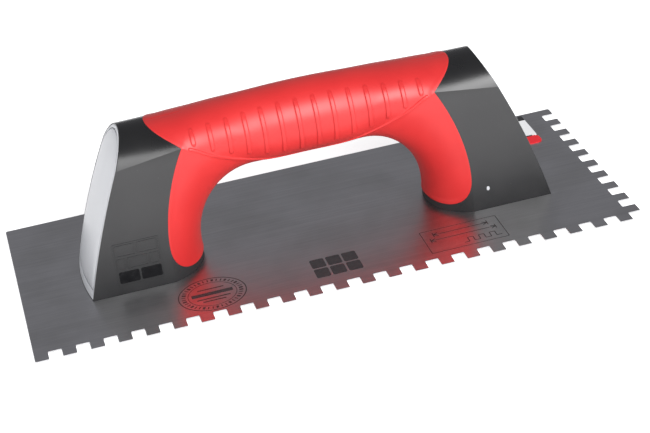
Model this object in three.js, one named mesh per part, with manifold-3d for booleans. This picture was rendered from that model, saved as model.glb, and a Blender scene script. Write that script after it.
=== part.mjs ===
// Notched trowel for spreading tile adhesive: a toothed steel blade under a closed two-legged handle.
// Millimetres. X runs along the blade, -Y is the long toothed edge, +Z is up, and the origin is the
// middle of the blade's underside. The handle is symmetric about the planes X = 0 and Y = 0.
import * as THREE from 'three';
import { mergeVertices } from 'three/addons/utils/BufferGeometryUtils.js';
import Module from 'manifold-3d';

const wasm = await Module();
wasm.setup();

// ---- driving dimensions ----
const FIT_GAP = 0.3;
const BLADE = { length: 280, width: 120, thickness: 1 };
const NOTCH = { side: 6, frontTeeth: 23, sideTeeth: 10 };
// The end faces lean inwards as a shallow curve and bulge outwards in plan.
const END = { footX: 109.3, lean: 0.26, curve: 0.0016, planRadius: 82 };
const SIDE = { footHalfWidth: 22.3, curve: 0.00106 };
const TOP = { middleZ: 75.6, endZ: 72.4, archHalfLength: 78 };
// The finger window: straight sides, elliptical upper corners and a straight underside of the grip.
const WINDOW = { halfWidth: 53.8, undersideZ: 42.3, cornerX: 25, cornerZ: 10 };
const GRIP_RADIUS = 16.6;
// From the slim grip to the wide legs: how far along X the change runs, and how much it adds.
const LEG = { startX: 20, endX: 62, extraGirth: 6.9, extraNose: 9.5, highNose: 34, lowZ: 10, highZ: 66 };
const DOME = { startX: 30, shoulderX: 57, endX: 84, shoulderDepth: 3.4, endDepth: 10 };
const SLEEVE_THICKNESS = 2.3;
const SLEEVE_FOOT_Z = 4.8;
const EDGE_WALL = 0.7;
const CAP = { depth: 2, rim: 1.3, panelDepth: 0.8, panelFoot: 4 };
const CAVITY = { halfWidth: 15.5, innerX: 76, innerTopX: 74, topZ: 55, floor: 3 };
const STUD = { diameter: 5, flangeDiameter: 7, flangeHeight: 0.8, topZ: 15, innerX: 83.5, outerX: 98.5 };
const WASHER = { diameter: 12, thickness: 1 };
const NUT = { acrossFlats: 8, height: 4 };
const LABEL = { width: 29, depth: 34, thickness: 0.15, corner: 2, rightX: 124.5, frontY: 24 };
const BORE_DIAMETER = STUD.diameter + 2 * FIT_GAP;
const FOOT_Z = BLADE.thickness + FIT_GAP;
const FLOOR_Z = FOOT_Z + CAVITY.floor;

// ---- mesh fineness ----
const ACROSS_STEPS = 9;
const END_STEPS = 4;
const ROUND_SEGMENTS = 16;
const RIDGE_HALF_WIDTH = 0.3;
const CORNER_U = 0.5;

// ---- materials ----
function finish(color, roughness, metalness) {
  return new THREE.MeshStandardMaterial({ color, roughness, metalness });
}

const steel = () => finish(0x8d8f93, 0.32, 1);
const zincSteel = () => finish(0xb4b6b8, 0.4, 1);
const blackPlastic = () => finish(0x2c2c2f, 0.45, 0);
const redRubber = () => finish(0xe0202a, 0.5, 0);
const greyPlastic = () => finish(0xd6d8dc, 0.4, 0);
const labelFilm = () => finish(0xf2f2f2, 0.5, 0);

// ---- small helpers ----
const lerp = (a, b, t) => a + (b - a) * t;

function smooth(from, to, value) {
  const t = THREE.MathUtils.clamp((value - from) / (to - from), 0, 1);
  return t * t * (3 - 2 * t);
}

// Quarter-ellipse profile: 0 at the edge (t = 0), 1 and level from t = 1 inwards.
function roundOff(t) {
  const rest = 1 - THREE.MathUtils.clamp(t, 0, 1);
  return Math.sqrt(Math.max(0, 1 - rest * rest));
}

function solidFromArrays(vertProperties, triVerts) {
  const mesh = new wasm.Mesh({ numProp: 3, vertProperties, triVerts });
  return new wasm.Manifold(mesh);
}

function toSolid(geometry) {
  const bare = geometry.clone();
  bare.deleteAttribute('normal');
  bare.deleteAttribute('uv');
  const merged = mergeVertices(bare, 1e-4);
  const positions = new Float32Array(merged.attributes.position.array);
  return solidFromArrays(positions, new Uint32Array(merged.index.array));
}

function toMesh(name, solid, material) {
  const { vertProperties, triVerts } = solid.getMesh();
  const geometry = new THREE.BufferGeometry();
  geometry.setAttribute('position', new THREE.BufferAttribute(new Float32Array(vertProperties), 3));
  geometry.setIndex(new THREE.BufferAttribute(new Uint32Array(triVerts), 1));
  geometry.computeVertexNormals();
  return namedMesh(name, geometry, material);
}

function namedMesh(name, geometry, material) {
  const mesh = new THREE.Mesh(geometry, material);
  mesh.name = name;
  return mesh;
}

function shapeFrom(points) {
  return new THREE.Shape(points.map(([x, y]) => new THREE.Vector2(x, y)));
}

// A prism of an outline drawn in the XZ plane, centred on Y = 0.
function sidePrism(outline, halfDepth) {
  const options = { depth: 2 * halfDepth, bevelEnabled: false };
  const geometry = new THREE.ExtrudeGeometry(shapeFrom(outline), options);
  geometry.rotateX(Math.PI / 2);
  geometry.translate(0, halfDepth, 0);
  return toSolid(geometry);
}

// ---- blade ----
function bladeOutline() {
  const halfLength = BLADE.length / 2;
  const halfWidth = BLADE.width / 2;
  const points = [[-halfLength, halfWidth], [-halfLength, -halfWidth]];
  const frontPitch = BLADE.length / NOTCH.frontTeeth;
  for (let k = 0; k < NOTCH.frontTeeth; k++) {
    const notchStart = -halfLength + (k + 1) * frontPitch - NOTCH.side;
    const notchEnd = notchStart + NOTCH.side;
    points.push([notchStart, -halfWidth], [notchStart, -halfWidth + NOTCH.side]);
    if (k < NOTCH.frontTeeth - 1) {
      points.push([notchEnd, -halfWidth + NOTCH.side], [notchEnd, -halfWidth]);
    }
  }
  const sidePitch = BLADE.width / NOTCH.sideTeeth;
  const notchFloorX = halfLength - NOTCH.side;
  for (let k = 0; k < NOTCH.sideTeeth; k++) {
    const toothStart = -halfWidth + NOTCH.side + k * sidePitch;
    const toothEnd = toothStart + sidePitch - NOTCH.side;
    if (k > 0) {
      points.push([notchFloorX, toothStart]);
    }
    points.push([halfLength, toothStart], [halfLength, toothEnd]);
    if (k < NOTCH.sideTeeth - 1) {
      points.push([notchFloorX, toothEnd]);
    }
  }
  return points;
}

function blade() {
  const options = { depth: BLADE.thickness, bevelEnabled: false };
  return namedMesh('blade', new THREE.ExtrudeGeometry(shapeFrom(bladeOutline()), options), steel());
}

function bladeLabel() {
  const { width, depth, corner } = LABEL;
  const shape = new THREE.Shape();
  shape.moveTo(corner, 0);
  shape.lineTo(width - corner, 0);
  shape.absarc(width - corner, corner, corner, -Math.PI / 2, 0, false);
  shape.lineTo(width, depth - corner);
  shape.absarc(width - corner, depth - corner, corner, 0, Math.PI / 2, false);
  shape.lineTo(corner, depth);
  shape.absarc(corner, depth - corner, corner, Math.PI / 2, Math.PI, false);
  shape.lineTo(0, corner);
  shape.absarc(corner, corner, corner, Math.PI, 1.5 * Math.PI, false);
  const options = { depth: LABEL.thickness, bevelEnabled: false, curveSegments: 4 };
  const geometry = new THREE.ExtrudeGeometry(shape, options);
  geometry.translate(LABEL.rightX - width, LABEL.frontY, FOOT_Z);
  return toMesh('blade_label', toSolid(geometry), labelFilm());
}

// ---- handle surface ----
const endX = (z) => END.footX - END.lean * z - END.curve * z * z;
const sideHalfWidth = (z) => SIDE.footHalfWidth - SIDE.curve * z * z;

function topZ(x) {
  const t = Math.min(Math.abs(x) / TOP.archHalfLength, 1);
  return lerp(TOP.endZ, TOP.middleZ, 0.5 + 0.5 * Math.cos(Math.PI * t));
}

// Distance from the finger window's outline, for points above or outside it.
function windowDistance(x, z) {
  const across = Math.abs(x) - WINDOW.cornerX;
  const up = z - WINDOW.cornerZ;
  if (across <= 0) {
    return z - WINDOW.undersideZ;
  }
  if (up <= 0) {
    return Math.abs(x) - WINDOW.halfWidth;
  }
  const reach = Math.hypot(across, up);
  const radiusX = WINDOW.halfWidth - WINDOW.cornerX;
  const radiusZ = WINDOW.undersideZ - WINDOW.cornerZ;
  return reach - 1 / Math.hypot(across / reach / radiusX, up / reach / radiusZ);
}

// Half thickness along Y of the handle at a point of its side view, moved inwards by inset.
// The rounded bar and legs are cut by the flatter sides of the feet, which leaves a crease.
function halfWidth(x, z, inset) {
  const side = Math.abs(x);
  const outward = smooth(LEG.startX, LEG.endX, side);
  const girth = GRIP_RADIUS + LEG.extraGirth * outward - inset;
  const extraNose = LEG.extraNose + LEG.highNose * smooth(LEG.lowZ, LEG.highZ, z);
  const noseDepth = GRIP_RADIUS + outward * extraNose - inset;
  const shoulder = DOME.shoulderDepth * smooth(DOME.startX, DOME.shoulderX, side);
  const beyond = DOME.endDepth * smooth(DOME.shoulderX, DOME.endX, side);
  const domeDepth = GRIP_RADIUS + shoulder + beyond - inset;
  const nose = roundOff((windowDistance(x, z) - inset) / noseDepth);
  const dome = roundOff((topZ(x) - inset - z) / domeDepth);
  return Math.min(girth * nose * dome, sideHalfWidth(z) - inset);
}

// A point of the handle's side view on the window side, u = 0 at the foot and 1 at mid-length.
function innerPoint(u, { inset, footZ }) {
  const arcStart = 0.15;
  const arcEnd = 0.65;
  if (u <= arcStart) {
    return { x: WINDOW.halfWidth + inset, z: lerp(footZ, WINDOW.cornerZ, u / arcStart) };
  }
  if (u >= arcEnd) {
    const x = lerp(WINDOW.cornerX, 0, (u - arcEnd) / (1 - arcEnd));
    return { x, z: WINDOW.undersideZ + inset };
  }
  const angle = (Math.PI / 2) * (u - arcStart) / (arcEnd - arcStart);
  return {
    x: WINDOW.cornerX + (WINDOW.halfWidth + inset - WINDOW.cornerX) * Math.cos(angle),
    z: WINDOW.cornerZ + (WINDOW.undersideZ + inset - WINDOW.cornerZ) * Math.sin(angle),
  };
}

// The same on the outer side: up the end face to its top corner at CORNER_U, then along the top.
function outerPoint(u, { inset, footZ, reach }) {
  const cornerZ = TOP.endZ - inset;
  if (u <= CORNER_U) {
    const z = lerp(footZ, cornerZ, u / CORNER_U);
    return { x: endX(z) + reach, z };
  }
  const x = lerp(endX(cornerZ) + reach, 0, (u - CORNER_U) / (1 - CORNER_U));
  return { x, z: topZ(x) - inset };
}

// One closed loop of surface points around the handle at station u, on the side sign = 1 or -1.
function handleRing(u, sign, skin) {
  const inner = innerPoint(u, skin);
  const outer = outerPoint(u, skin);
  const front = [];
  for (let j = 0; j <= ACROSS_STEPS; j++) {
    const t = 0.5 - 0.5 * Math.cos((Math.PI * j) / ACROSS_STEPS);
    const x = lerp(inner.x, outer.x, t);
    const z = lerp(inner.z, outer.z, t);
    front.push([x, Math.max(halfWidth(x, z, skin.inset), RIDGE_HALF_WIDTH), z]);
  }
  const edgeHalf = front[ACROSS_STEPS][1];
  const fullHalf = u < CORNER_U ? halfWidth(outer.x, outer.z, 0) : edgeHalf;
  const bulge = (y) => Math.max(0, fullHalf * fullHalf - y * y) / (2 * END.planRadius);
  front[ACROSS_STEPS][0] += bulge(edgeHalf);
  const endPoints = [];
  for (let j = 1; j < END_STEPS; j++) {
    const y = lerp(-edgeHalf, edgeHalf, j / END_STEPS);
    endPoints.push([outer.x + bulge(y), y, outer.z]);
  }
  const back = [...front].reverse();
  const loop = [...front.map(([x, y, z]) => [x, -y, z]), ...endPoints, ...back];
  return loop.map(([x, y, z]) => [sign * x, y, z]);
}

// The whole handle as one closed skin from the right foot over the top to the left foot. An inset
// moves its sides inwards, footZ is its lowest level and reach lengthens it beyond both end faces.
function handleSolid({ inset = 0, footZ = FOOT_Z, reach = 0 } = {}) {
  const legStations = [0, 0.05, 0.1, 0.15, 0.2, 0.25, 0.3, 0.35, 0.4, 0.44, 0.48];
  const barStations = [CORNER_U, 0.55, 0.6, 0.65, 0.72, 0.8, 0.9];
  const half = [...legStations, ...barStations];
  const stations = [...half.map((u) => [u, 1]), [1, 1], ...[...half].reverse().map((u) => [u, -1])];
  const rings = stations.map(([u, sign]) => handleRing(u, sign, { inset, footZ, reach }));
  const size = rings[0].length;
  const triangles = [];
  for (let i = 0; i + 1 < rings.length; i++) {
    for (let j = 0; j < size; j++) {
      const a = i * size + j;
      const b = i * size + ((j + 1) % size);
      triangles.push(a, b, a + size, b, b + size, a + size);
    }
  }
  const points = rings.flat();
  const lastRing = (rings.length - 1) * size;
  const footMiddle = (WINDOW.halfWidth + END.footX) / 2;
  points.push([footMiddle, 0, footZ], [-footMiddle, 0, footZ]);
  for (let j = 0; j < size; j++) {
    const next = (j + 1) % size;
    triangles.push(next, j, points.length - 2);
    triangles.push(lastRing + j, lastRing + next, points.length - 1);
  }
  return solidFromArrays(new Float32Array(points.flat()), new Uint32Array(triangles));
}

// ---- grip sleeve and core ----
// Outer edge of the right half of the sleeve in side view: from the top of the handle down to a cusp,
// then down the leg, then round under to the window.
function sleeveEdge() {
  const point = (x, z) => new THREE.Vector2(x, z);
  const cusp = point(58.2, 63.8);
  const widest = point(70.8, 21);
  const dome = new THREE.QuadraticBezierCurve(point(70.6, TOP.endZ), point(65.6, 69.4), cusp);
  const leg = new THREE.CubicBezierCurve(cusp, point(63.6, 54), point(69.6, 40), widest);
  const bottom = point(60, SLEEVE_FOOT_Z);
  const foot = new THREE.CubicBezierCurve(widest, point(71.2, 11), point(68, 5.6), bottom);
  return [...dome.getPoints(2), ...leg.getPoints(5).slice(1), ...foot.getPoints(5).slice(1)];
}

// Side view of the region that the sleeve covers: over the bar and down the inner half of each leg.
function sleeveOutline(shrink) {
  const edge = sleeveEdge();
  const above = [edge[0].x - shrink, TOP.middleZ + 10];
  const right = [above, ...edge.map(({ x, y }) => [x - shrink, Math.max(y, SLEEVE_FOOT_Z + shrink)])];
  right.push([WINDOW.cornerX, SLEEVE_FOOT_Z + shrink]);
  const left = [...right].reverse().map(([x, z]) => [-x, z]);
  return [...right, ...left];
}

function gripSleeve(bar) {
  const region = sidePrism(sleeveOutline(FIT_GAP + 0.1), 2 * GRIP_RADIUS);
  const solid = handleSolid().intersect(region).subtract(bar);
  return toMesh('grip_sleeve', solid, redRubber());
}

// ---- ends ----
// The part of a handle skin that lies from depth behind the right end face to beyond it.
function endLayer(skin, depth) {
  const from = STUD.innerX - 4;
  const to = END.footX + 20;
  const above = TOP.middleZ + 10;
  const nearEnd = sidePrism([[from, -5], [to, -5], [to, above], [from, above]], 2 * SIDE.footHalfWidth);
  const behind = handleSolid({ footZ: FOOT_Z - 3 }).translate(-depth, 0, 0);
  return handleSolid({ reach: 6, ...skin }).intersect(nearEnd).subtract(behind);
}

function endCap() {
  const plug = endLayer({ inset: EDGE_WALL + FIT_GAP }, CAP.depth).intersect(handleSolid());
  const pocketSkin = { inset: EDGE_WALL + FIT_GAP + CAP.rim, footZ: FOOT_Z + CAP.panelFoot };
  return plug.subtract(endLayer(pocketSkin, CAP.panelDepth + FIT_GAP));
}

function endPanel() {
  const inset = EDGE_WALL + CAP.rim + 2 * FIT_GAP;
  const skin = { inset, footZ: FOOT_Z + CAP.panelFoot + FIT_GAP };
  return endLayer(skin, CAP.panelDepth).intersect(handleSolid());
}

// Turns a part of the right end into the matching part of the left end.
const turned = (solid) => solid.rotate(0, 0, 180);

// ---- handle core ----
// Hollow of the right leg, open through the end face.
function legCavity() {
  const outside = END.footX + 10;
  const outline = [
    [outside, FLOOR_Z], [outside, CAVITY.topZ], [CAVITY.innerTopX, CAVITY.topZ], [CAVITY.innerX, FLOOR_Z],
  ];
  return sidePrism(outline, CAVITY.halfWidth);
}

function uprightCylinder(diameter, bottomZ, topZ, x) {
  const geometry = new THREE.CylinderGeometry(diameter / 2, diameter / 2, topZ - bottomZ, ROUND_SEGMENTS);
  geometry.rotateX(Math.PI / 2);
  geometry.translate(x, 0, (topZ + bottomZ) / 2);
  return toSolid(geometry);
}

function studHole(x) {
  const through = uprightCylinder(BORE_DIAMETER, 0, FLOOR_Z + 1, x);
  const recessDiameter = STUD.flangeDiameter + 2 * FIT_GAP;
  const recessTopZ = FOOT_Z + STUD.flangeHeight + FIT_GAP;
  return through.add(uprightCylinder(recessDiameter, 0, recessTopZ, x));
}

function handleCore(bar) {
  const outer = handleSolid().subtract(sidePrism(sleeveOutline(0), 2 * GRIP_RADIUS));
  let core = outer.add(bar);
  const rebate = endLayer({ inset: EDGE_WALL, footZ: FOOT_Z - 1 }, CAP.depth + FIT_GAP);
  const rightCuts = [legCavity(), rebate, studHole(STUD.innerX), studHole(STUD.outerX)];
  for (const cut of rightCuts) {
    core = core.subtract(cut).subtract(turned(cut));
  }
  return toMesh('handle_core', core, blackPlastic());
}

// ---- fasteners ----
function lathe(profile) {
  const points = profile.map(([r, z]) => new THREE.Vector2(r, z));
  const geometry = new THREE.LatheGeometry(points, ROUND_SEGMENTS);
  geometry.rotateX(Math.PI / 2);
  return geometry;
}

function weldStud() {
  const flangeTop = FOOT_Z + STUD.flangeHeight;
  const radius = STUD.diameter / 2;
  const chamfer = 0.6;
  return lathe([
    [0, FOOT_Z], [STUD.flangeDiameter / 2, FOOT_Z], [STUD.flangeDiameter / 2, flangeTop],
    [radius, flangeTop], [radius, STUD.topZ - chamfer], [radius - chamfer, STUD.topZ], [0, STUD.topZ],
  ]);
}

function washer() {
  const bottom = FLOOR_Z + FIT_GAP;
  const top = bottom + WASHER.thickness;
  const bore = BORE_DIAMETER / 2;
  const rim = WASHER.diameter / 2;
  return lathe([[bore, bottom], [rim, bottom], [rim, top], [bore, top], [bore, bottom]]);
}

function nut() {
  const corner = NUT.acrossFlats / Math.sqrt(3);
  const corners = [0, 1, 2, 3, 4, 5].map((k) => (k * Math.PI) / 3);
  const shape = shapeFrom(corners.map((a) => [corner * Math.cos(a), corner * Math.sin(a)]));
  const bore = new THREE.Path();
  bore.absarc(0, 0, BORE_DIAMETER / 2, 0, 2 * Math.PI, true);
  shape.holes.push(bore);
  const options = { depth: NUT.height, bevelEnabled: false, curveSegments: ROUND_SEGMENTS / 2 };
  const geometry = new THREE.ExtrudeGeometry(shape, options);
  geometry.translate(0, 0, FLOOR_Z + WASHER.thickness + 2 * FIT_GAP);
  return geometry;
}

function fasteners() {
  const group = new THREE.Group();
  const places = [
    ['left_outer', -STUD.outerX], ['left_inner', -STUD.innerX],
    ['right_inner', STUD.innerX], ['right_outer', STUD.outerX],
  ];
  const pieces = [['weld_stud', weldStud], ['washer', washer], ['nut', nut]];
  for (const [place, x] of places) {
    for (const [piece, make] of pieces) {
      const mesh = toMesh(`${piece}_${place}`, toSolid(make()), zincSteel());
      mesh.position.x = x;
      group.add(mesh);
    }
  }
  return group;
}

// ---- assembly ----
function trowel() {
  const group = new THREE.Group();
  const bar = handleSolid({ inset: SLEEVE_THICKNESS + FIT_GAP, footZ: FOOT_Z + 1 });
  const barSpace = handleSolid({ inset: SLEEVE_THICKNESS, footZ: FOOT_Z });
  const cap = endCap();
  const panel = endPanel();
  group.add(blade(), bladeLabel());
  group.add(handleCore(bar), gripSleeve(barSpace));
  group.add(toMesh('end_cap_right', cap, greyPlastic()));
  group.add(toMesh('end_cap_left', turned(cap), greyPlastic()));
  group.add(toMesh('end_panel_right', panel, greyPlastic()));
  group.add(toMesh('end_panel_left', turned(panel), greyPlastic()));
  group.add(fasteners());
  return group;
}

export default trowel();
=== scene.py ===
"""Notched trowel: the fine surfaces, materials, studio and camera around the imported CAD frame.

Sizes are in millimetres, in the frame's own axes: X along the blade, -Y the long toothed edge, +Z up.
make_object turns them into metres. The handle is symmetric about X = 0 and Y = 0, so its surfaces are
built as one quarter (X > 0, front) and mirrored.
"""
import math

import bmesh
import bpy
import numpy as np
from mathutils import Matrix, Vector


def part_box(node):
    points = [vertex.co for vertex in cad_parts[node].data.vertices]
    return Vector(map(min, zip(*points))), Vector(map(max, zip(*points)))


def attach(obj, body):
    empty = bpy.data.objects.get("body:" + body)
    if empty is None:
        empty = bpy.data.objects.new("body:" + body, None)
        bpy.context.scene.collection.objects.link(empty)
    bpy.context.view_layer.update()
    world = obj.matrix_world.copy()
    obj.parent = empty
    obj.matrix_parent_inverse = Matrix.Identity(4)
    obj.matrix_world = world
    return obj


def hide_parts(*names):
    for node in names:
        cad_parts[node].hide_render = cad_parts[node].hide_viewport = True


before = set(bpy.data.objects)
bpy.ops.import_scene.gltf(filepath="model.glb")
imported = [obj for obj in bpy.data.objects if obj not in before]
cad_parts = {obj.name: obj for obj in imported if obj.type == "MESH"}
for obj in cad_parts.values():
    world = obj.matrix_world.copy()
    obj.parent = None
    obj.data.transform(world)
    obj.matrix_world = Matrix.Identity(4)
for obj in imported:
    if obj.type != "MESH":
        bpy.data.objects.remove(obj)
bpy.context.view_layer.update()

MM = 0.001
WELD_DISTANCE = 0.008

# ---- driving dimensions, millimetres ----
BLADE_LOW, BLADE_HIGH = (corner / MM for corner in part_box("blade"))
LABEL_LOW, LABEL_HIGH = (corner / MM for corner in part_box("blade_label"))
LABEL_EDGE_X = 124.5
BLADE_TOP = BLADE_HIGH.z
FOOT_Z = BLADE_TOP + 0.06
NOTCH = 6.0
FRONT_TEETH = 23
SIDE_TEETH = 10
TOOTH_RADIUS = 0.5
BLADE_CORNER_RADIUS = 0.9

# End faces lean inwards with height (foot x, slope, curvature) and bulge in plan.
END_FOOT_X, END_LEAN, END_CURVE, END_PLAN_RADIUS = 109.3, 0.26, 0.0016, 110.0
SIDE_FOOT, SIDE_CURVE = 22.3, 0.00106
TOP_MIDDLE_Z, TOP_END_Z, TOP_ARCH = 75.5, 72.4, 78.0
WINDOW_X, WINDOW_Z, WINDOW_CORNER_X, WINDOW_CORNER_Z = 53.8, 42.3, 25.0, 10.0
GRIP_RADIUS = 16.6
DOME_DEPTH = 22.0
SLEEVE_THICKNESS = 2.0
SLEEVE_PROUD = 0.22

# Corner points of the sleeve's edge in side view (x, z).
SLEEVE_HEEL = (WINDOW_X, 4.9)
SLEEVE_CALF = (70.9, 19.0)
SLEEVE_CUSP = (58.0, 63.9)
SLEEVE_TIP_X = 70.5
CREASE_END_Z = 60.0

RIB_PITCH = 8.06
RIB_COUNT = 14
RIB_HALF_WIDTH, RIB_FLANK, RIB_HEIGHT = 1.02, 0.27, 0.62
# A rib ends below the top line, and sinks to a share of its height towards that end.
RIB_TOP_DROP, RIB_FADE_START, RIB_FADE_LENGTH, RIB_TOP_SHARE = 4.05, 0.6, 3.2, 0.45
LONG_RIB_END_X = 54.5


# ---- small maths ----
def smooth(start, end, value):
    t = np.clip((value - start) / (end - start), 0.0, 1.0)
    return t * t * (3.0 - 2.0 * t)


def round_off(t):
    """Quarter-ellipse profile: 0 at the edge (t = 0), 1 and level from t = 1 inwards."""
    rest = 1.0 - np.clip(t, 0.0, 1.0)
    return np.sqrt(np.maximum(0.0, 1.0 - rest * rest))


def bezier(control, shares):
    """Points of the Bezier curve of the given control points, at shares of its parameter or in even steps."""
    if isinstance(shares, int):
        shares = np.linspace(0.0, 1.0, shares + 1)
    t = shares[:, None]
    points = [np.repeat(np.array([p], float), len(t), axis=0) for p in control]
    while len(points) > 1:
        points = [a * (1.0 - t) + b * t for a, b in zip(points, points[1:])]
    return points[0]


def running_length(points):
    return np.concatenate([[0.0], np.cumsum(np.linalg.norm(np.diff(points, axis=0), axis=1))])


def along(points, distances):
    """Points of a polyline at the given distances along it."""
    run = running_length(points)
    return np.stack([np.interp(distances, run, points[:, k]) for k in range(points.shape[1])], axis=1)


def resample(points, shares):
    """Points of a polyline at the given shares of its length."""
    return along(points, np.asarray(shares) * running_length(points)[-1])


def unit(vectors):
    length = np.linalg.norm(vectors, axis=-1, keepdims=True)
    return vectors / np.maximum(length, 1e-9)


# ---- mesh building ----
class Quilt:
    """Collects grids of points as quads and welds them into one mesh."""

    def __init__(self):
        self.points = []
        self.faces = []
        self.count = 0

    def add_points(self, points):
        start = self.count
        self.points.append(np.asarray(points, float).reshape(-1, 3))
        self.count += len(self.points[-1])
        return start

    def grid(self, points, flip=False, close=False):
        """points[i][j]: a quad between each i, i + 1 and j, j + 1; close joins the last j to the first."""
        rows, columns = points.shape[:2]
        start = self.add_points(points)
        spans = columns if close else columns - 1
        for i in range(rows - 1):
            for j in range(spans):
                a = start + i * columns + j
                b = start + i * columns + (j + 1) % columns
                quad = (a, b, b + columns, a + columns)
                self.faces.append(quad[::-1] if flip else quad)

    def mirrored(self, points, flip=False, sides=((1, 1), (1, -1), (-1, 1), (-1, -1))):
        """The grid and its mirror images in X and Y."""
        for along, across in sides:
            self.grid(points * np.array([along, across, 1.0]), flip != (along * across < 0))

    def polygon(self, points, flip=False):
        start = self.add_points(points)
        ring = tuple(range(start, self.count))
        self.faces.append(ring[::-1] if flip else ring)


def make_object(name, quilt, material, replaced=(), sharp_degrees=None):
    """Welds the quilt's points that meet, turns its faces outwards and makes the piece."""
    mesh = bpy.data.meshes.new(name)
    mesh.from_pydata((np.concatenate(quilt.points) * MM).tolist(), [], quilt.faces)
    tidy = bmesh.new()
    tidy.from_mesh(mesh)
    bmesh.ops.remove_doubles(tidy, verts=tidy.verts, dist=WELD_DISTANCE * MM)
    bmesh.ops.recalc_face_normals(tidy, faces=tidy.faces)
    tidy.to_mesh(mesh)
    tidy.free()
    mesh.materials.append(material)
    mesh.shade_smooth()
    if sharp_degrees is not None:
        mesh.set_sharp_from_angle(angle=math.radians(sharp_degrees))
    piece = bpy.data.objects.new(name, mesh)
    bpy.context.scene.collection.objects.link(piece)
    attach(piece, "root")
    if replaced:
        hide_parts(*replaced)
    return piece


# ---- handle surface ----
def end_x(z):
    return END_FOOT_X - END_LEAN * z - END_CURVE * z * z


def side_half(z):
    return SIDE_FOOT - SIDE_CURVE * z * z


def top_z(x):
    share = np.minimum(np.abs(x) / TOP_ARCH, 1.0)
    return TOP_END_Z + (TOP_MIDDLE_Z - TOP_END_Z) * (0.5 + 0.5 * np.cos(math.pi * share))


def window_distance(x, z):
    """Distance from the finger window's outline, for points above or outside it."""
    across = x - WINDOW_CORNER_X
    up = z - WINDOW_CORNER_Z
    reach = np.maximum(np.hypot(across, up), 1e-6)
    wide = WINDOW_X - WINDOW_CORNER_X
    tall = WINDOW_Z - WINDOW_CORNER_Z
    corner = reach - 1.0 / np.hypot(across / reach / wide, up / reach / tall)
    return np.where(across <= 0, z - WINDOW_Z, np.where(up <= 0, x - WINDOW_X, corner))


def crease_z(x):
    """Height of the crease between the flat side and the dome above it."""
    cusp_x, cusp_z = SLEEVE_CUSP
    share = (x - cusp_x) / (end_x(CREASE_END_Z) - cusp_x)
    return cusp_z + (CREASE_END_Z - cusp_z) * share


def dome_half(x, z):
    """Half thickness of the black dome over each leg, which starts at the crease."""
    crease = crease_z(x)
    fall = round_off((top_z(x) - z) / DOME_DEPTH) / round_off((top_z(x) - crease) / DOME_DEPTH)
    return side_half(crease) * fall


def bar_half(x, z):
    """Half thickness of the rounded bar and of the noses of the legs."""
    outward = smooth(20.0, 62.0, x)
    girth = GRIP_RADIUS + 6.9 * outward
    nose_depth = GRIP_RADIUS + outward * (9.5 + 34.0 * smooth(10.0, 66.0, z))
    dome_depth = GRIP_RADIUS + 3.4 * smooth(30.0, 57.0, x) + 10.0 * smooth(57.0, 84.0, x)
    nose = round_off(window_distance(x, z) / nose_depth)
    return girth * nose * round_off((top_z(x) - z) / dome_depth)


# ---- side-view curves of the quarter handle, each a list of (x, z) ----
HEEL_STEPS, SHANK_STEPS, DOME_STEPS, FOOT_STEPS = 24, 46, 18, 10


def heel_curve():
    """The sleeve's round lower edge, from the window to the calf."""
    return bezier([SLEEVE_HEEL, (64.5, 2.6), (71.1, 8.2), SLEEVE_CALF], HEEL_STEPS)


def shank_curve():
    return bezier([SLEEVE_CALF, (70.9, 34.0), (65.0, 52.0), SLEEVE_CUSP], SHANK_STEPS)


def dome_edge(shares):
    """The sleeve's edge over the dome, from the cusp to its tip on the top line."""
    tip = (SLEEVE_TIP_X, float(top_z(SLEEVE_TIP_X)))
    return bezier([SLEEVE_CUSP, (61.0, 66.3), (66.5, 69.3), tip], shares)


def dome_shares():
    return np.sin(np.linspace(0.0, math.pi / 2, DOME_STEPS + 1))


def dome_curve():
    """The same edge, with its points closing up towards the rounded top."""
    return resample(dome_edge(80), dome_shares())


def foot_curve():
    """The crease below the calf, from the foot up."""
    return bezier([(71.2, FOOT_Z), SLEEVE_CALF], FOOT_STEPS)


def spine_z(x):
    """Height of the long rib, which runs under the bar from cusp to cusp and parts the grid in two."""
    cusp_x, cusp_z = SLEEVE_CUSP
    rise = lambda x: 43.4 + 0.0067 * x * x
    flatten = np.maximum(x - 50.0, 0.0) / (cusp_x - 50.0)
    return rise(x) - (rise(cusp_x) - cusp_z) * flatten * flatten


def window_curve(count=400):
    """The window's edge from the sleeve's heel to mid-length."""
    angle = np.linspace(0.0, math.pi / 2, count)
    arc = np.stack([
        WINDOW_CORNER_X + (WINDOW_X - WINDOW_CORNER_X) * np.cos(angle),
        WINDOW_CORNER_Z + (WINDOW_Z - WINDOW_CORNER_Z) * np.sin(angle),
    ], axis=1)
    return np.concatenate([[SLEEVE_HEEL], arc, [(0.0, WINDOW_Z)]])


def nearest(points, path):
    """Distance from each point to a dense path, and the index of the path point that is nearest."""
    best = np.full(len(points), 1e9)
    index = np.zeros(len(points), int)
    for start in range(0, len(path), 64):
        block = path[start:start + 64]
        away = np.linalg.norm(points[:, None, :] - block[None, :, :], axis=2)
        found = away.argmin(axis=1)
        closest = away[np.arange(len(points)), found]
        better = closest < best
        best = np.where(better, closest, best)
        index = np.where(better, found + start, index)
    return best, index


def seam_ratio():
    """Where the nose and bar meet the flat side and the dome, how far off the plain bar formula is."""
    lower = resample(np.concatenate([foot_curve()[:-1], shank_curve()]), np.linspace(0.0, 1.0, 460))
    upper = resample(dome_edge(200), np.linspace(0.0, 0.96, 160))[1:]
    want = np.concatenate([side_half(lower[:, 1]), dome_half(upper[:, 0], upper[:, 1])])
    path = np.concatenate([lower, upper])
    return path, want / bar_half(path[:, 0], path[:, 1])


SEAM_PATH, SEAM_RATIO = seam_ratio()
SEAM_BLEND = 12.0


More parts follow.
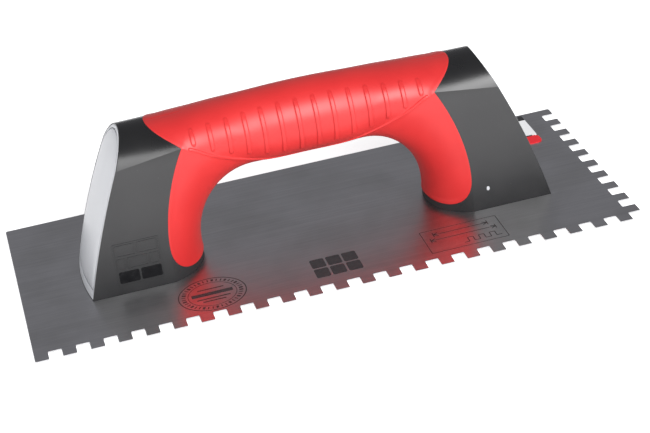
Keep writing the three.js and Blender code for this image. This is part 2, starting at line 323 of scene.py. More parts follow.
def grip_half(x, z):
    """The bar formula, eased near the seam so that it meets its neighbours exactly."""
    shape = x.shape
    flat = np.stack([x.ravel(), z.ravel()], axis=1)
    away, index = nearest(flat, SEAM_PATH)
    ease = 1.0 - smooth(0.0, SEAM_BLEND, away)
    factor = 1.0 + (SEAM_RATIO[index] - 1.0) * ease
    return bar_half(x, z) * factor.reshape(shape)


# ---- sleeve grids: the leg and the underside below the long rib, the bar's face and top above it ----
SPLAY_X, UPRIGHT_X = 54.2, 48.3
SPLAY_STEPS = 14
EDGE_STEPS = HEEL_STEPS + SHANK_STEPS


def rib_centres():
    return [(k - (RIB_COUNT - 1) / 2) * RIB_PITCH for k in range(RIB_COUNT)]


def fine_bar_x():
    """X of the grid columns along the bar, close together at each rib's flanks."""
    side = np.array([0.3, 0.62, 0.76, 0.84, 0.93, 1.02, 1.3, 2.1])
    flanks = np.concatenate([-side[::-1], side, [4.03]])
    columns = [0.0] + [x for centre in rib_centres() if centre > 0 for x in centre + flanks]
    return np.array(sorted((x for x in columns if x < SPLAY_X - 0.15), reverse=True))


def coarse_bar_x():
    return np.linspace(SPLAY_X, 0.0, 15)[1:]


def spine_columns(bar_x):
    """X on the long rib and X on the top line of each column above it."""
    splay = np.linspace(0.0, 1.0, SPLAY_STEPS + 1)
    spine = SLEEVE_CUSP[0] + (SPLAY_X - SLEEVE_CUSP[0]) * splay
    top = SLEEVE_TIP_X + (SPLAY_X - SLEEVE_TIP_X) * splay
    return np.concatenate([spine, bar_x]), np.concatenate([top, bar_x])


def lower_ends(bar_x):
    """Window end and outer end of each column of the lower grid."""
    window = window_curve()
    run = running_length(window)
    upright = np.interp(-UPRIGHT_X, -window[:, 0], run)
    spine, _ = spine_columns(bar_x)
    share = np.clip((SLEEVE_CUSP[0] - spine) / (SLEEVE_CUSP[0] - UPRIGHT_X), 0.0, 1.0)
    slanted = 0.86 * upright + 0.14 * upright * share
    straight = np.interp(-spine, -window[:, 0], run)
    bar_at = np.where(spine > UPRIGHT_X, slanted, straight)
    heel_at = np.linspace(0.0, 0.42 * upright, HEEL_STEPS + 1)
    shank_at = np.linspace(0.42 * upright, 0.86 * upright, SHANK_STEPS + 1)
    inner = along(window, np.concatenate([heel_at, shank_at[1:], bar_at[1:]]))
    outer = [heel_curve(), shank_curve()[1:], np.stack([spine, spine_z(spine)], axis=1)[1:]]
    return inner, np.concatenate(outer)


def row_distances(length, middle, head, tail):
    """Distances of a column's rows: fixed steps at its head and tail, even ones between."""
    scale = min(1.0, length / 5.0)
    first = np.array(head) * scale
    last = length - np.array(tail) * scale
    return np.concatenate([first, np.linspace(first[-1], last[0], middle + 1)[1:-1], last])


def spaced_columns(flat, distances):
    """Grid on the grip's surface from dense side-view columns, each spaced by its length."""
    half = grip_half(flat[..., 0], flat[..., 1])
    on_rim = np.abs(flat[..., 1] - top_z(flat[..., 0])) < 1e-6
    half[on_rim] = 0.0
    dense = np.stack([flat[..., 0], -half, flat[..., 1]], axis=2)
    return np.stack([along(line, distances(running_length(line)[-1])) for line in dense])


RIB_ROWS = (0.0, 0.2, 0.38, 0.52, 0.68, 0.85, 1.1)
RIM_ROWS = (0.0, 0.3, 0.65)


def lower_grid(bar_x, middle):
    inner, outer = lower_ends(bar_x)
    share = 0.5 - 0.5 * np.cos(np.linspace(0.0, math.pi, 240))
    flat = inner[:, None, :] + (outer - inner)[:, None, :] * share[None, :, None]
    grid = spaced_columns(flat, lambda length: row_distances(length, middle, RIM_ROWS, RIB_ROWS[::-1]))
    grid[:, 0, 1] = 0.0
    return grid


def upper_grid(bar_x, distances):
    spine, top = spine_columns(bar_x)
    low = np.stack([spine, spine_z(spine)], axis=1)
    high = np.stack([top, top_z(top)], axis=1)
    share = np.sin(np.linspace(0.0, math.pi / 2, 240))
    chord = low[0] + (high[0] - low[0]) * share[:, None]
    bow = dome_edge(share) - chord
    straight = low[:, None, :] + (high - low)[:, None, :] * share[None, :, None]
    ease = np.clip((spine - SPLAY_X) / (SLEEVE_CUSP[0] - SPLAY_X), 0.0, 1.0)
    return spaced_columns(straight + ease[:, None, None] * bow[None], distances)


def grip_normals(grid):
    """Outward normals of the grip surface at a grid's points, level with the plane Y = 0 on its rims."""
    step = 0.03
    x, z = grid[..., 0], grid[..., 2]
    slope_x = (grip_half(x + step, z) - grip_half(x - step, z)) / (2.0 * step)
    slope_z = (grip_half(x, z + step) - grip_half(x, z - step)) / (2.0 * step)
    facing = np.where(np.abs(grid[..., 1]) < 1e-6, 0.0, -1.0)
    return unit(np.stack([-slope_x, facing, -slope_z], axis=-1))


def ridge_height(points, path, half_width, flank, height):
    """Height of a ridge with rounded flanks along a path of 3-D points, at each of the given points."""
    away, _ = nearest(points.reshape(-1, 3), path)
    profile = 1.0 - smooth(half_width - flank, half_width, away)
    return height * profile.reshape(points.shape[:-1])


def on_grip(x, z):
    return np.stack([x, -grip_half(x, z), z], axis=1)


def rib_top_z(x):
    return float(top_z(x)) - RIB_TOP_DROP


def rib_path(x):
    z = np.linspace(49.3 + 0.0055 * x * x, rib_top_z(x), 120)
    return on_grip(np.full(len(z), x), z)


def long_rib_path():
    x = np.linspace(0.0, LONG_RIB_END_X, 500)
    return on_grip(x, spine_z(x))


def sleeve_relief(grid):
    """Ribs, the long rib below them, the parting grooves and the raised edge."""
    height = ridge_height(grid, long_rib_path(), 0.8, 0.36, 0.42)
    for x in rib_centres():
        if x > 0:
            ridge = ridge_height(grid, rib_path(x), RIB_HALF_WIDTH, RIB_FLANK, RIB_HEIGHT)
            fade_z = rib_top_z(x) + RIB_FADE_START
            fade = smooth(fade_z, fade_z - RIB_FADE_LENGTH, grid[..., 2])
            height = np.maximum(height, ridge * (RIB_TOP_SHARE + (1.0 - RIB_TOP_SHARE) * fade))
    x, z = grid[..., 0], grid[..., 2]
    parted = np.maximum(smooth(52.0, 56.0, x) * (z > 60.0), smooth(34.0, 30.0, z))
    groove = np.clip(1.0 - np.abs(grid[..., 1]) / 0.4, 0.0, 1.0) * parted
    edge = np.concatenate([heel_curve(), shank_curve(), dome_edge(60)])
    edge_points = on_grip(edge[:, 0], edge[:, 1])
    away, _ = nearest(grid.reshape(-1, 3), resample(edge_points, np.linspace(0.0, 1.0, 700)))
    lip = SLEEVE_PROUD * (1.0 - smooth(0.2, 3.0, away.reshape(height.shape)))
    return height + lip - 0.22 * groove


def edge_wall(edge, normals, offsets):
    """Strip down the sleeve's edge: offsets are (outward, along the normal) from the edge points."""
    tangent = unit(np.gradient(edge, axis=0))
    outward = unit(np.cross(tangent, normals))
    outward = np.where(outward[:, :1].mean() < 0, -outward, outward)
    for k in (0, -1):
        outward[k, 1] = 0.0
    outward = unit(outward)
    return np.stack([edge + a * outward + b * normals for a, b in offsets], axis=1)


def edge_chain(lower, upper):
    """The sleeve's edge, from the heel over the cusp to the tip, out of its two grids."""
    return np.concatenate([lower[:EDGE_STEPS + 1, -1], upper[0, 1:]])


LOWER_ROWS, UPPER_ROWS, HIDDEN_ROWS = 32, 64, 8


def face_rows(length):
    return row_distances(length, UPPER_ROWS, RIB_ROWS, RIM_ROWS[::-1])


def sleeve(material):
    """Red overmoulded grip: ribbed outer skin, a raised edge and a hidden inner skin, closed."""
    quilt = Quilt()
    grids = lower_grid(fine_bar_x(), LOWER_ROWS), upper_grid(fine_bar_x(), face_rows)
    normals = [grip_normals(grid) for grid in grids]
    skins = [grid + sleeve_relief(grid)[..., None] * normal for grid, normal in zip(grids, normals)]
    for skin in skins:
        quilt.mirrored(skin)
    deep = -SLEEVE_THICKNESS - SLEEVE_PROUD
    offsets = [(0, 0), (0.09, -0.04), (0.13, -0.16), (0.13, deep)]
    wall = edge_wall(edge_chain(*skins), edge_chain(*normals), offsets)
    quilt.mirrored(wall)
    hidden = lower_grid(coarse_bar_x(), HIDDEN_ROWS), upper_grid(coarse_bar_x(), face_rows)
    lower, upper = (grid - SLEEVE_THICKNESS * grip_normals(grid) for grid in hidden)
    lower[:EDGE_STEPS + 1, -1] = wall[:EDGE_STEPS + 1, -1]
    upper[0] = wall[EDGE_STEPS:, -1]
    quilt.mirrored(lower, flip=True)
    quilt.mirrored(upper, flip=True)
    return make_object("sleeve_moulding", quilt, material, ["grip_sleeve"])


# ---- end faces ----
SIDE_ROWS = FOOT_STEPS + SHANK_STEPS
BOTTOM_STEPS = 12
CREASE_STEPS = 26


def end_heights():
    """Heights of the end face's outline points: evenly up the side, then closing up to the top."""
    lower = np.linspace(FOOT_Z, CREASE_END_Z, SIDE_ROWS + 1)
    return lower, CREASE_END_Z + (TOP_END_Z - CREASE_END_Z) * dome_shares()


def end_outline():
    """(y, z) of half of the end face's outline, from the foot to the top."""
    lower, upper = end_heights()
    y = np.concatenate([side_half(lower), dome_half(end_x(upper[1:]), upper[1:])])
    y[-1] = 0.0
    return np.stack([y, np.concatenate([lower, upper[1:]])], axis=1)


def end_surface_x(y, z):
    """X of the end face: leaning, and bulged in plan between its two side edges."""
    half = np.interp(z, end_outline()[:, 1], end_outline()[:, 0])
    return end_x(z) + np.maximum(0.0, half * half - y * y) / (2.0 * END_PLAN_RADIUS)


def end_ring(inset, bottom, back, fixed_x=None):
    """Closed ring on the right end face, inset from its outline, above its bottom and behind its face."""
    outline = end_outline()
    tangent = unit(np.gradient(outline, axis=0))
    normal = np.stack([-tangent[:, 1], tangent[:, 0]], axis=1)
    normal[-1] = (0.0, -1.0)
    shrunk = outline + inset * normal
    shrunk[-1, 0] = 0.0
    lowest = FOOT_Z + bottom
    share = np.clip((CREASE_END_Z - shrunk[:, 1]) / (CREASE_END_Z - FOOT_Z), 0.0, 1.0)
    half = np.empty_like(shrunk)
    half[:, 1] = shrunk[:, 1] + (lowest - FOOT_Z) * share
    half[:, 0] = np.interp(half[:, 1], shrunk[:, 1], shrunk[:, 0])
    half[0, 1] = lowest
    front = half * (-1, 1)
    back_side = half[-2::-1]
    sill_y = np.linspace(half[0, 0], -half[0, 0], BOTTOM_STEPS + 1)[1:-1]
    sill = np.stack([sill_y, np.full(len(sill_y), half[0, 1])], axis=1)
    ring = np.concatenate([front, back_side, sill])
    x = end_surface_x(ring[:, 0], ring[:, 1]) - back
    if fixed_x is not None:
        x = np.full(len(ring), fixed_x)
    return np.column_stack([x, ring])


def ring_fill(ring, on_surface=None):
    """Rings that shrink a closed end ring onto an upright line in its middle, to fill it."""
    rings = []
    core_z = np.clip(ring[:, 2], ring[:, 2].min() + 20.0, ring[:, 2].max() - 14.0)
    for share in (1.0, 0.8, 0.6, 0.4, 0.2, 0.0):
        inner = ring * (1, share, share) + np.outer((1.0 - share) * core_z, (0, 0, 1))
        if on_surface is not None:
            inner[:, 0] = end_surface_x(inner[:, 1], inner[:, 2]) - on_surface
        rings.append(inner)
    return rings


def end_plate(name, rings, fills, material, replaced, turn):
    """Closed plate at one end from a stack of rings, with both open rings filled."""
    first_fill, last_fill = fills
    stack = first_fill[::-1] + rings[1:-1] + last_fill
    quilt = Quilt()
    quilt.grid(np.stack(stack) * (turn, turn, 1.0), close=True)
    return make_object(name, quilt, material, [replaced], sharp_degrees=50)


CAP_INSET, RIM_WIDTH, PANEL_GAP, SILL, RIM_FOOT = 0.55, 1.25, 0.6, 0.22, 4.1


def end_cap(side, turn, material):
    """Light grey plug in the end of a leg: a rim round a shallow pocket."""
    outer, inner = CAP_INSET, CAP_INSET + RIM_WIDTH
    rings = [
        end_ring(outer, SILL, 2.0), end_ring(outer, SILL, 0.22), end_ring(outer + 0.06, SILL + 0.03, 0.08),
        end_ring(outer + 0.2, SILL + 0.1, 0.0), end_ring(inner - 0.15, RIM_FOOT - 0.15, 0.0),
        end_ring(inner - 0.04, RIM_FOOT - 0.04, 0.06), end_ring(inner, RIM_FOOT, 0.2),
        end_ring(inner, RIM_FOOT, 1.0),
    ]
    fills = ring_fill(rings[0], 2.0), ring_fill(rings[-1], 1.0)
    return end_plate(f"cap_{side}_moulding", rings, fills, material, f"end_cap_{side}", turn)


def end_panel(side, turn, material):
    """Light grey inset plate inside the rim of an end cap."""
    inset = CAP_INSET + RIM_WIDTH + PANEL_GAP
    foot = RIM_FOOT + PANEL_GAP
    rings = [
        end_ring(inset, foot, 0.85), end_ring(inset, foot, 0.3), end_ring(inset + 0.07, foot + 0.07, 0.12),
        end_ring(inset + 0.25, foot + 0.25, 0.04),
    ]
    fills = ring_fill(rings[0], 0.85), ring_fill(rings[-1], 0.04)
    return end_plate(f"panel_{side}_moulding", rings, fills, material, f"end_panel_{side}", turn)


# ---- handle core ----
def lift(points, half):
    """Side-view points to 3-D points on the front surface."""
    return np.stack([points[..., 0], -half, points[..., 1]], axis=-1)


def between(first, last, shares):
    """Grid of side-view points between two curves of equal count: [curve point][share]."""
    return first[:, None, :] + (last - first)[:, None, :] * np.asarray(shares)[None, :, None]


def side_patch():
    """Flat side of the leg, from the crease by the sleeve to the end face's edge."""
    crease = np.concatenate([foot_curve()[:-1], shank_curve()])
    heights = end_heights()[0]
    edge = np.stack([end_x(heights), heights], axis=1)
    flat = between(crease, edge, np.linspace(0.0, 1.0, CREASE_STEPS + 1))
    return lift(flat, side_half(flat[..., 1]))


def dome_patch():
    """Rounded top of the leg, between the crease, the sleeve's edge, the top line and the end face."""
    columns = CREASE_STEPS
    share = np.linspace(0.0, 1.0, columns + 1)
    left = dome_curve()
    heights = end_heights()[1]
    right = np.stack([end_x(heights), heights], axis=1)
    flat = between(left, right, share)
    crease_x = np.linspace(SLEEVE_CUSP[0], float(end_x(CREASE_END_Z)), columns + 1)
    top_x = np.linspace(SLEEVE_TIP_X, float(end_x(TOP_END_Z)), columns + 1)
    low = np.stack([crease_x, crease_z(crease_x)], axis=1)
    high = np.stack([top_x, top_z(top_x)], axis=1)
    rise = dome_shares()[:, None, None]
    flat = flat + (1.0 - rise) * (low - flat[0])[None] + rise * (high - flat[-1])[None]
    half = dome_half(flat[..., 0], flat[..., 1])
    half[-1] = 0.0
    return lift(flat, half)


def heel_patch():
    """Black foot under the sleeve's round lower edge."""
    sleeve_edge = heel_curve()
    crease = foot_curve()
    sole_steps = HEEL_STEPS - FOOT_STEPS
    sole_x = WINDOW_X + (crease[0, 0] - WINDOW_X) * np.linspace(0.0, 1.0, sole_steps + 1) ** 1.6
    sole = np.stack([sole_x, np.full(sole_steps + 1, FOOT_Z)], axis=1)
    outer = np.concatenate([sole, crease[1:]])
    flat = between(sleeve_edge, outer, np.linspace(0.0, 1.0, 9))
    half = grip_half(flat[..., 0], flat[..., 1])
    half[0] = 0.0
    half[-FOOT_STEPS - 1:, -1] = side_half(outer[-FOOT_STEPS - 1:, 1])
    return lift(flat, half)


def sole_strip(heel, side):
    """Bottom of the foot: quads between the front edge and its mirror image."""
    front = np.concatenate([heel[:HEEL_STEPS - FOOT_STEPS + 1, -1], side[0, 1:]])
    return np.stack([front, front * (1, -1, 1)], axis=1)


def end_opening():
    """Rings from the end face's edge over the thin lip into the hollow of the leg."""
    shoulder = CAP_INSET + 2.4
    floor = 4.3 - FOOT_Z
    tunnel = end_ring(shoulder, floor, 2.35, fixed_x=77.5)
    rings = [
        end_ring(0.0, 0.0, 0.0), end_ring(0.05, 0.02, -0.06), end_ring(0.16, 0.06, -0.1),
        end_ring(CAP_INSET - 0.1, SILL - 0.08, -0.1), end_ring(CAP_INSET - 0.05, SILL - 0.04, 0.0),
        end_ring(CAP_INSET - 0.05, SILL - 0.04, 2.35),
        end_ring(shoulder, floor, 2.35),
    ]
    return np.stack(rings + ring_fill(tunnel))


def hidden_bar():
    """The core inside the sleeve, and the drop down to it from the edges of the visible patches."""
    lower = lower_grid(coarse_bar_x(), HIDDEN_ROWS)
    upper = upper_grid(coarse_bar_x(), lambda length: length * dome_shares())
    lower[HEEL_STEPS:EDGE_STEPS + 1, -1, 1] = -side_half(lower[HEEL_STEPS:EDGE_STEPS + 1, -1, 2])
    dome = dome_curve()
    upper[0] = lift(dome, dome_half(dome[:, 0], dome[:, 1]))
    upper[:, -1, 1] = 0.0
    depth = SLEEVE_THICKNESS + 0.15
    inner = [grid - depth * grip_normals(grid) for grid in (lower, upper)]
    drop = np.stack([edge_chain(lower, upper), edge_chain(*inner)], axis=1)
    return [drop] + inner


def handle_core(material):
    """Black moulding: feet, flat sides, domes, hollow ends and the hidden bar inside the sleeve."""
    quilt = Quilt()
    side, heel = side_patch(), heel_patch()
    quilt.mirrored(side, flip=True)
    quilt.mirrored(dome_patch(), flip=True)
    quilt.mirrored(heel, flip=True)
    quilt.mirrored(sole_strip(heel, side), flip=True, sides=((1, 1), (-1, 1)))
    opening = end_opening()
    quilt.grid(opening, close=True)
    quilt.grid(opening * (-1, -1, 1), close=True)
    for turn in (1, -1):
        sill = opening[0][-BOTTOM_STEPS:]
        quilt.polygon(np.concatenate([sill, opening[0][:1]]) * (turn, turn, 1))
    for part in hidden_bar():
        quilt.mirrored(part)
    return make_object("core_moulding", quilt, material, ["handle_core"], sharp_degrees=17)


# ---- blade ----
def blade_corners():
    """Corner points of the blade's outline with the radius of each corner, anticlockwise."""
    left, right = BLADE_LOW.x, BLADE_HIGH.x
    front, back = BLADE_LOW.y, BLADE_HIGH.y
    corners = [(left, back, BLADE_CORNER_RADIUS), (left, front, BLADE_CORNER_RADIUS)]
    pitch = (right - left) / FRONT_TEETH
    for k in range(FRONT_TEETH):
        start = left + (k + 1) * pitch - NOTCH
        corners += [(start, front, TOOTH_RADIUS), (start, front + NOTCH, TOOTH_RADIUS)]
        if k < FRONT_TEETH - 1:
            corners += [(start + NOTCH, front + NOTCH, TOOTH_RADIUS), (start + NOTCH, front, TOOTH_RADIUS)]
    pitch = (back - front) / SIDE_TEETH
    for k in range(SIDE_TEETH):
        start = front + NOTCH + k * pitch
        end = start + pitch - NOTCH
        if k > 0:
            corners.append((right - NOTCH, start, TOOTH_RADIUS))
        last = k == SIDE_TEETH - 1
        corners += [(right, start, TOOTH_RADIUS), (right, end, BLADE_CORNER_RADIUS if last else TOOTH_RADIUS)]
        if not last:
            corners.append((right - NOTCH, end, TOOTH_RADIUS))
    return corners


def rounded_outline(corners, steps=4):
    """Outline with each corner (x, y, radius) rounded by an arc that fits its two sides."""
    points = []
    for k, (x, y, radius) in enumerate(corners):
        here = np.array([x, y])
        before = unit(np.array(corners[k - 1][:2]) - here)
        after = unit(np.array(corners[(k + 1) % len(corners)][:2]) - here)
        start, end = here + radius * before, here + radius * after
        points.extend(bezier([start, here * 0.55 + start * 0.45, here * 0.55 + end * 0.45, end], steps))
    return np.array(points)


def inset_outline(points, distance):
    """The outline moved inwards; anticlockwise points have their inside on the left."""
    before = unit(points - np.roll(points, 1, axis=0))
    after = unit(np.roll(points, -1, axis=0) - points)
    normal = lambda d: np.stack([-d[:, 1], d[:, 0]], axis=1)
    mitre = normal(before) + normal(after)
    scale = 2.0 / np.maximum((mitre * mitre).sum(axis=1, keepdims=True), 0.5)
    return points + distance * mitre * scale


def on_blade(points, height):
    return np.column_stack([points, np.full(len(points), BLADE_TOP + height)])


def on_leg(points, height):
    """Side-view points to 3-D points standing off the leg's flat front side."""
    return np.column_stack([points[:, 0], -side_half(points[:, 1]) - height, points[:, 1]])


def slab(quilt, outline, bottom, top, bevel=0.0, place=on_blade):
    """Closed plate of an anticlockwise outline, with its top and bottom edges bevelled."""
    inner = inset_outline(outline, bevel) if bevel else outline
    rings = [place(inner, bottom), place(inner, top)]
    if bevel:
        rings = [rings[0], place(outline, bottom + bevel), place(outline, top - bevel), rings[1]]
    quilt.grid(np.stack(rings), close=True)
    quilt.polygon(rings[-1])
    quilt.polygon(rings[0], flip=True)


def band(quilt, outline, width, bottom, top, place=on_blade):
    """Closed flat band just inside an anticlockwise outline."""
    inner = inset_outline(outline, width)
    loop = [place(outline, bottom), place(outline, top), place(inner, top), place(inner, bottom)]
    quilt.grid(np.stack(loop + loop[:1]), close=True)


def box_outline(low, high, radius):
    (x0, y0), (x1, y1) = low, high
    corners = [(x0, y0, radius), (x1, y0, radius), (x1, y1, radius), (x0, y1, radius)]
    return rounded_outline(corners)


def stroke(start, end, width):
    """Outline of a straight line of the given width."""
    start, end = np.array(start, float), np.array(end, float)
    side = unit(end - start)[::-1] * (1, -1) * width / 2
    return np.array([start + side, end + side, end - side, start - side])


def oval(centre, half_axes, count=96):
    angle = np.linspace(0.0, 2.0 * math.pi, count, endpoint=False)
    return np.array(centre) + np.array(half_axes) * np.stack([np.cos(angle), np.sin(angle)], axis=1)


def blade(material):
    """Toothed steel sheet with slightly rounded tooth corners and bright sheared edges."""
    quilt = Quilt()
    slab(quilt, rounded_outline(blade_corners()), BLADE_LOW.z - BLADE_TOP, 0.0, bevel=0.09)
    return make_object("blade_sheet", quilt, material, ["blade"], sharp_degrees=25)


# ---- label, printed marks and the relief on the leg; all of them plain patterns, with no lettering ----
INK_LOW, INK_HIGH = -0.02, 0.03


def print_piece(name, quilt, material):
    return make_object(name, quilt, material, sharp_degrees=30)


def centre_mark(material):
    """Three by two grid of dark tiles in the middle of the blade."""
    quilt = Quilt()
    tile, gap = (6.6, 7.6), 0.9
    for column in range(3):
        for row in range(2):
            low = np.array([-11.4 + column * (tile[0] + gap), -47.2 + row * (tile[1] + gap)])
            slab(quilt, box_outline(low, low + tile, 1.0), INK_LOW, INK_HIGH)
    print_piece("print_centre", quilt, material)


def oval_stamp(material):
    """Double oval with tick marks between its lines and plain bars across its middle."""
    quilt = Quilt()
    centre, reach = np.array([-57.9, -39.2]), np.array([15.5, 13.6])
    band(quilt, oval(centre, reach), 0.5, INK_LOW, INK_HIGH)
    band(quilt, oval(centre, reach * 0.72), 0.3, INK_LOW, INK_HIGH)
    for k in range(40):
        turn = 2.0 * math.pi * k / 40
        ray = np.array([math.cos(turn), math.sin(turn)]) * reach
        width = 0.55 if k % 3 else 1.1
        slab(quilt, stroke(centre + 0.78 * ray, centre + 0.9 * ray, width), INK_LOW, INK_HIGH)
    for rise, half, width in ((4.6, 6.0, 0.8), (0.6, 9.4, 2.6), (-3.2, 7.6, 0.8), (-5.4, 5.2, 0.8)):
        ends = centre + (-half, rise), centre + (half, rise)
        slab(quilt, stroke(*ends, width), INK_LOW, INK_HIGH)
    print_piece("print_stamp", quilt, material)


def notch_diagram(material):
    """Framed drawing of the notch profile under two dimension arrows."""
    quilt = Quilt()
    band(quilt, box_outline((41.5, -49.5), (78.5, -29.5), 0.6), 0.35, INK_LOW, INK_HIGH)
    for y, left, right in ((-34.0, 47.0, 73.0), (-38.6, 44.5, 75.5)):
        lines = [((left, y), (right, y))]
        for tip, turn in ((left, 1), (right, -1)):
            lines += [((tip, y), (tip + 2.2 * turn, y + 1.3)), ((tip, y), (tip + 2.2 * turn, y - 1.3))]
            lines.append(((tip, y - 1.8), (tip, y + 1.8)))
        for line in lines:
            slab(quilt, stroke(*line, 0.45), INK_LOW, INK_HIGH)
    wave = [(58.0, -46.4)]
    for k in range(3):
        x = 60.5 + 5.2 * k
        wave += [(x, -46.4), (x, -42.8), (x + 2.6, -42.8), (x + 2.6, -46.4)]
    wave.append((76.0, -46.4))
    for start, end in zip(wave, wave[1:]):
        slab(quilt, stroke(start, end, 0.45), INK_LOW, INK_HIGH)
    print_piece("print_notch", quilt, material)


def label(white, ink, red):
    """White film beside the right leg, with a black band and a red end."""
    left, right = LABEL_LOW.x, LABEL_EDGE_X
    top = LABEL_HIGH.z - BLADE_TOP - 0.03
    film = Quilt()
    slab(film, box_outline((left, 36.0), (right, LABEL_HIGH.y), 0.8), 0.0, top)
    make_object("label_white", film, white, ["blade_label"], sharp_degrees=30)
    dark = Quilt()
    slab(dark, box_outline((left, 53.0), (right, LABEL_HIGH.y), 0.5), top - 0.01, top + 0.03)
    slab(dark, box_outline((left, 35.4), (right - 2.5, 36.4), 0.2), top - 0.01, top + 0.03)
    print_piece("label_band", dark, ink)
    bright = Quilt()
    slab(bright, box_outline((left, 28.2), (right + 0.3, 35.8), 2.6), 0.0, top)
    print_piece("label_red", bright, red)


def leg_relief(black, polished, pale):
    """Moulded square of staggered tiles on the front of the left leg, its lowest row polished."""
    raised, tiles = Quilt(), Quilt()
    left, foot, width, height, gap = -95.6, 6.6, 9.2, 5.7, 0.9
    right, top = left + 2 * width + gap, foot + 3 * height + 2 * gap
    frame_outline = box_outline((left - gap, foot - gap), (right + gap, top + gap), 0.8)
    band(raised, frame_outline, 0.5, -0.1, 0.26, on_leg)
    middle = left + (width + gap) / 2
    rows = [
        [(left, left + width), (left + width + gap, right)],
        [(left, middle - gap), (middle, middle + width), (middle + width + gap, right)],
        [(left, left + width), (left + width + gap, right)],
    ]
    for k, row in enumerate(rows):
        low = foot + k * (height + gap)
        for start, end in row:
            outline = box_outline((start, low), (end, low + height), 0.7)
            if k:
                band(raised, outline, 0.5, -0.1, 0.26, on_leg)
            else:
                slab(tiles, outline, -0.1, 0.26, 0.06, on_leg)
    gate = Quilt()
    slab(gate, oval((78.6, 11.6), (0.75, 1.05), 24), -0.1, 0.16, 0.05, on_leg)
    make_object("relief_frame", raised, black, sharp_degrees=30)
    make_object("relief_tiles", tiles, polished, sharp_degrees=30)
    make_object("gate_mark", gate, pale, sharp_degrees=30)


# ---- materials ----
class Shader:
    """A Principled material and its nodes, with short ways to add the usual pattern nodes."""

    def __init__(self, name, **values):
        self.material = bpy.data.materials.new(name)
        self.material.use_nodes = True
        self.tree = self.material.node_tree
        self.surface = next(n for n in self.tree.nodes if n.type == "BSDF_PRINCIPLED")
        self.coordinates = self.tree.nodes.new("ShaderNodeTexCoord").outputs["Object"]
        for socket, value in values.items():
            self.surface.inputs[socket.replace("_", " ")].default_value = value

    def link(self, output, target):
        self.tree.links.new(output, target)

    def stretched(self, scale):
        """Object coordinates scaled along each axis, for grain with a direction."""
        mapping = self.tree.nodes.new("ShaderNodeMapping")
        mapping.inputs["Scale"].default_value = scale
        self.link(self.coordinates, mapping.inputs["Vector"])
        return mapping.outputs["Vector"]

    def noise(self, scale, detail=2.0, vector=None, roughness=0.5):
        node = self.tree.nodes.new("ShaderNodeTexNoise")
        node.inputs["Scale"].default_value = scale
        node.inputs["Detail"].default_value = detail
        node.inputs["Roughness"].default_value = roughness
        self.link(vector or self.coordinates, node.inputs["Vector"])
        return node.outputs["Fac"]

    def height_share(self, low, high):
        """0 below the height low, 1 above the height high, in metres."""
        split = self.tree.nodes.new("ShaderNodeSeparateXYZ")
        self.link(self.coordinates, split.inputs[0])
        node = self.tree.nodes.new("ShaderNodeMapRange")
        node.interpolation_type = "SMOOTHSTEP"
        node.inputs["From Min"].default_value = low
        node.inputs["From Max"].default_value = high
        self.link(split.outputs["Z"], node.inputs["Value"])
        return node.outputs["Result"]

    def ramp(self, value, *stops):
        """Colour or grey ramp: stops are (position, colour) with a grey value allowed as colour."""
        node = self.tree.nodes.new("ShaderNodeValToRGB")
        elements = node.color_ramp.elements
        while len(elements) < len(stops):
            elements.new(0.5)
        for element, (position, colour) in zip(elements, stops):
            element.position = position
            element.color = (colour,) * 3 + (1.0,) if isinstance(colour, float) else (*colour, 1.0)
        self.link(value, node.inputs["Fac"])
        return node.outputs["Color"]

    def maths(self, operation, first, second):
        node = self.tree.nodes.new("ShaderNodeMath")
        node.operation = operation
        for k, value in enumerate((first, second)):
            if isinstance(value, float):
                node.inputs[k].default_value = value
            else:
                self.link(value, node.inputs[k])
        return node.outputs["Value"]

    def mix(self, factor, first, second):
        node = self.tree.nodes.new("ShaderNodeMix")
        node.data_type = "RGBA"
        self.link(factor, node.inputs[0])
        self.link(first, node.inputs[6])
        self.link(second, node.inputs[7])
        return node.outputs[2]

    def bump(self, height, strength, distance):
        node = self.tree.nodes.new("ShaderNodeBump")
        node.inputs["Strength"].default_value = strength
        node.inputs["Distance"].default_value = distance
        self.link(height, node.inputs["Height"])
        self.link(node.outputs["Normal"], self.surface.inputs["Normal"])

    def colour(self, output):
        self.link(output, self.surface.inputs["Base Color"])

    def roughness(self, output):
        self.link(output, self.surface.inputs["Roughness"])


def blade_steel():
    """Spring steel brushed along its length, with faint stains."""
    shader = Shader("blade_steel", Metallic=1.0)
    fine = shader.noise(1.0, 3.0, shader.stretched((60.0, 5200.0, 5200.0)), 0.65)
    broad = shader.noise(1.0, 2.0, shader.stretched((9.0, 700.0, 700.0)))
    stain = shader.noise(28.0, 4.0)
    grain = shader.maths("ADD", shader.maths("MULTIPLY", fine, 0.65), shader.maths("MULTIPLY", broad, 0.35))
    light = shader.ramp(grain, (0.3, (0.53, 0.53, 0.545)), (0.7, (0.71, 0.71, 0.72)))
    dark = shader.ramp(grain, (0.3, (0.48, 0.48, 0.485)), (0.7, (0.63, 0.63, 0.635)))
    shader.colour(shader.mix(shader.ramp(stain, (0.42, 0.0), (0.62, 1.0)), light, dark))
    shader.roughness(shader.ramp(grain, (0.25, 0.27), (0.75, 0.42)))
    shader.bump(grain, 0.22, 0.00004)
    return shader.material


